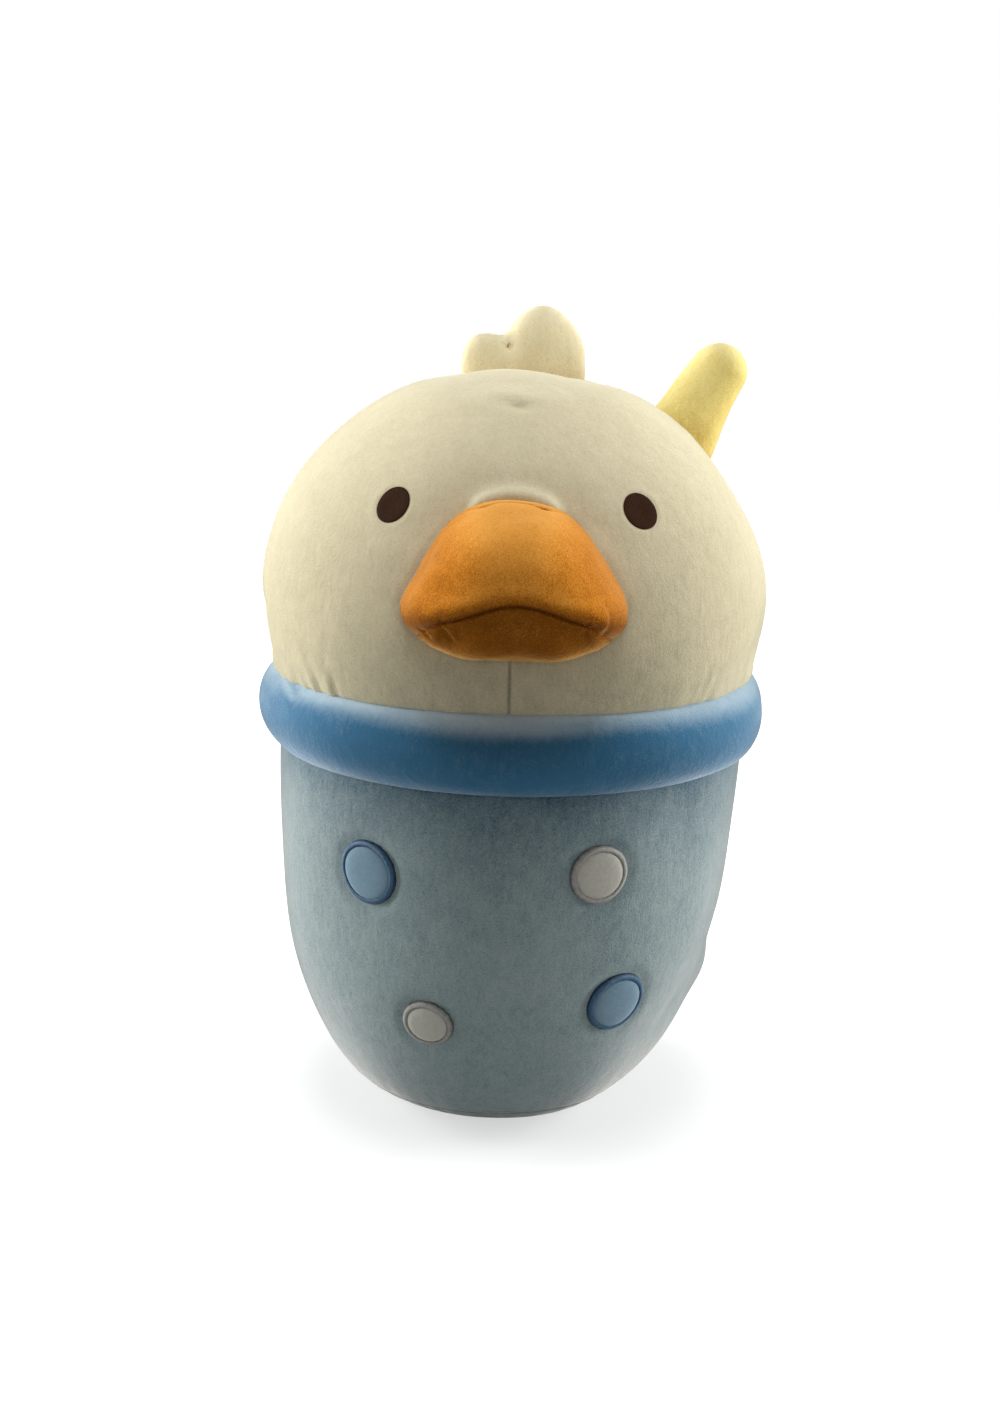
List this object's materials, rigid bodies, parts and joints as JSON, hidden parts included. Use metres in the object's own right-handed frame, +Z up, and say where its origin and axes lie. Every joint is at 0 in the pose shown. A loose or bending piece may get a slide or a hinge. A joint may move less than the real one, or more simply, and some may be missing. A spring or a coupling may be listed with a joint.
{
  "type": "plush duck in a drinks cup",
  "caption": "Free-standing stuffed toy: a wide duck's head with a bill and a tuft fills a plush cup that has a padded rim, satin-edged dots and a padded straw.",
  "frame": {"origin": "centre of the flat round patch under the cup that the toy stands on", "axes": "+Z up through the cup and the head, -Y the way the bill points, +X towards the side that the straw leans to"},
  "size_m": [0.244, 0.2881, 0.3873],
  "materials": {
    "cup_plush": "short velvety pile, pale powder blue",
    "rim_plush": "short velvety pile, mid blue",
    "cream_plush": "short velvety pile, cream",
    "bill_plush": "short velvety pile, orange",
    "straw_plush": "short velvety pile, soft yellow",
    "blue_dot_cloth": "smooth short-napped cloth, light blue",
    "white_dot_cloth": "smooth short-napped cloth, off-white",
    "blue_satin": "close satin stitch, dark blue thread",
    "grey_satin": "close satin stitch, light grey thread",
    "eye_satin": "close satin stitch, dark brown thread",
    "bill_thread": "orange sewing thread",
    "cream_thread": "cream sewing thread",
    "fibre": "loose white polyester stuffing"
  },
  "bodies": {
    "toy": {"cup_side_panel": "cup_plush", "cup_base_panel": "cup_plush", "cup_filling": "fibre", "rim_cover": "rim_plush", "rim_filling": "fibre", "head_front_panel": "cream_plush", "head_back_panel": "cream_plush", "head_filling": "fibre", "left_eye": "eye_satin", "right_eye": "eye_satin", "bill_upper_panel": "bill_plush", "bill_lower_panel": "bill_plush", "bill_filling": "fibre", "left_nostril_stitch": "bill_thread", "right_nostril_stitch": "bill_thread", "upper_left_blue_dot": "blue_dot_cloth", "upper_left_blue_dot_border": "blue_satin", "upper_right_white_dot": "white_dot_cloth", "upper_right_white_dot_border": "grey_satin", "lower_left_white_dot": "white_dot_cloth", "lower_left_white_dot_border": "grey_satin", "lower_right_blue_dot": "blue_dot_cloth", "lower_right_blue_dot_border": "blue_satin"},
    "tuft": {"tuft_front_panel": "cream_plush", "tuft_back_panel": "cream_plush", "tuft_filling": "fibre", "tuft_stitch": "cream_thread"},
    "straw": {"straw_cover": "straw_plush", "straw_filling": "fibre"}
  },
  "joints": [
    {"name": "tuft_flex", "type": "hinge", "parent": "toy", "child": "tuft", "pos_m": [0, 0.04183, 0.35691], "axis": [1, 0, 0], "range_deg": [-25, 25], "stiffness_Nm_per_rad": 0.05, "deforming": ["tuft_front_panel", "tuft_back_panel"]},
    {"name": "straw_flex", "type": "hinge", "parent": "toy", "child": "straw", "pos_m": [0.08629, 0.05804, 0.3266], "axis": [0, 1, 0], "range_deg": [-20, 20], "stiffness_Nm_per_rad": 0.1, "deforming": ["straw_cover"]}
  ]
}
